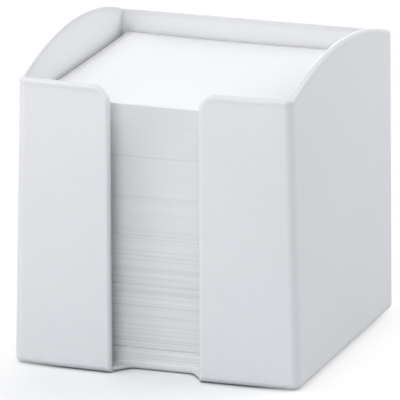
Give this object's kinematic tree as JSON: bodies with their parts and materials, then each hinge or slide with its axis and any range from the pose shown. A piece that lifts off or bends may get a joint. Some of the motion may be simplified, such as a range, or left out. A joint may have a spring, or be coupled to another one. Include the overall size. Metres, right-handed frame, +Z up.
{
  "type": "memo box",
  "caption": "Open-topped desk box with arched sides, a finger slot down its front and a notch in its floor, holding a stack of loose square note sheets.",
  "frame": {"origin": "under the middle of the box, on the flat underside that rests on the desk", "axes": "+Z up, the way the sheets are lifted out; -Y towards the slotted front; +X to the right of someone who faces that front"},
  "size_m": [0.1004, 0.1023, 0.1063],
  "materials": {
    "moulding": "satin white",
    "paper": "plain uncoated white"
  },
  "bodies": {
    "box": {"memo_box": "moulding"},
    "bundle_01": {"sheet_bundle_01": "paper"},
    "bundle_02": {"sheet_bundle_02": "paper"},
    "bundle_03": {"sheet_bundle_03": "paper"},
    "bundle_04": {"sheet_bundle_04": "paper"},
    "bundle_05": {"sheet_bundle_05": "paper"},
    "bundle_06": {"sheet_bundle_06": "paper"},
    "bundle_07": {"sheet_bundle_07": "paper"},
    "bundle_08": {"sheet_bundle_08": "paper"},
    "bundle_09": {"sheet_bundle_09": "paper"},
    "bundle_10": {"sheet_bundle_10": "paper"},
    "bundle_11": {"sheet_bundle_11": "paper"},
    "bundle_12": {"sheet_bundle_12": "paper"},
    "bundle_13": {"sheet_bundle_13": "paper"},
    "bundle_14": {"sheet_bundle_14": "paper"},
    "bundle_15": {"sheet_bundle_15": "paper"},
    "bundle_16": {"sheet_bundle_16": "paper"},
    "bundle_17": {"sheet_bundle_17": "paper"},
    "bundle_18": {"sheet_bundle_18": "paper"},
    "bundle_19": {"sheet_bundle_19": "paper"},
    "bundle_20": {"sheet_bundle_20": "paper"},
    "bundle_21": {"sheet_bundle_21": "paper"},
    "bundle_22": {"sheet_bundle_22": "paper"},
    "bundle_23": {"sheet_bundle_23": "paper"},
    "bundle_24": {"sheet_bundle_24": "paper"},
    "loose_top_sheet": {"top_sheet": "paper"}
  },
  "joints": [
    {"name": "lift_01", "type": "slide", "parent": "box", "child": "bundle_01", "axis": [0, 0, 1], "range_m": [0, 0.1095]},
    {"name": "lift_02", "type": "slide", "parent": "bundle_01", "child": "bundle_02", "axis": [0, 0, 1], "range_m": [0, 0.1058]},
    {"name": "lift_03", "type": "slide", "parent": "bundle_02", "child": "bundle_03", "axis": [0, 0, 1], "range_m": [0, 0.1022]},
    {"name": "lift_04", "type": "slide", "parent": "bundle_03", "child": "bundle_04", "axis": [0, 0, 1], "range_m": [0, 0.0985]},
    {"name": "lift_05", "type": "slide", "parent": "bundle_04", "child": "bundle_05", "axis": [0, 0, 1], "range_m": [0, 0.0948]},
    {"name": "lift_06", "type": "slide", "parent": "bundle_05", "child": "bundle_06", "axis": [0, 0, 1], "range_m": [0, 0.0912]},
    {"name": "lift_07", "type": "slide", "parent": "bundle_06", "child": "bundle_07", "axis": [0, 0, 1], "range_m": [0, 0.0875]},
    {"name": "lift_08", "type": "slide", "parent": "bundle_07", "child": "bundle_08", "axis": [0, 0, 1], "range_m": [0, 0.0838]},
    {"name": "lift_09", "type": "slide", "parent": "bundle_08", "child": "bundle_09", "axis": [0, 0, 1], "range_m": [0, 0.0802]},
    {"name": "lift_10", "type": "slide", "parent": "bundle_09", "child": "bundle_10", "axis": [0, 0, 1], "range_m": [0, 0.0765]},
    {"name": "lift_11", "type": "slide", "parent": "bundle_10", "child": "bundle_11", "axis": [0, 0, 1], "range_m": [0, 0.0728]},
    {"name": "lift_12", "type": "slide", "parent": "bundle_11", "child": "bundle_12", "axis": [0, 0, 1], "range_m": [0, 0.0692]},
    {"name": "lift_13", "type": "slide", "parent": "bundle_12", "child": "bundle_13", "axis": [0, 0, 1], "range_m": [0, 0.0655]},
    {"name": "lift_14", "type": "slide", "parent": "bundle_13", "child": "bundle_14", "axis": [0, 0, 1], "range_m": [0, 0.0618]},
    {"name": "lift_15", "type": "slide", "parent": "bundle_14", "child": "bundle_15", "axis": [0, 0, 1], "range_m": [0, 0.0582]},
    {"name": "lift_16", "type": "slide", "parent": "bundle_15", "child": "bundle_16", "axis": [0, 0, 1], "range_m": [0, 0.0545]},
    {"name": "lift_17", "type": "slide", "parent": "bundle_16", "child": "bundle_17", "axis": [0, 0, 1], "range_m": [0, 0.0509]},
    {"name": "lift_18", "type": "slide", "parent": "bundle_17", "child": "bundle_18", "axis": [0, 0, 1], "range_m": [0, 0.0472]},
    {"name": "lift_19", "type": "slide", "parent": "bundle_18", "child": "bundle_19", "axis": [0, 0, 1], "range_m": [0, 0.0435]},
    {"name": "lift_20", "type": "slide", "parent": "bundle_19", "child": "bundle_20", "axis": [0, 0, 1], "range_m": [0, 0.0399]},
    {"name": "lift_21", "type": "slide", "parent": "bundle_20", "child": "bundle_21", "axis": [0, 0, 1], "range_m": [0, 0.0362]},
    {"name": "lift_22", "type": "slide", "parent": "bundle_21", "child": "bundle_22", "axis": [0, 0, 1], "range_m": [0, 0.0325]},
    {"name": "lift_23", "type": "slide", "parent": "bundle_22", "child": "bundle_23", "axis": [0, 0, 1], "range_m": [0, 0.0289]},
    {"name": "lift_24", "type": "slide", "parent": "bundle_23", "child": "bundle_24", "axis": [0, 0, 1], "range_m": [0, 0.0252]},
    {"name": "lift_top_sheet", "type": "slide", "parent": "bundle_24", "child": "loose_top_sheet", "axis": [0, 0, 1], "range_m": [0, 0.0215]}
  ]
}
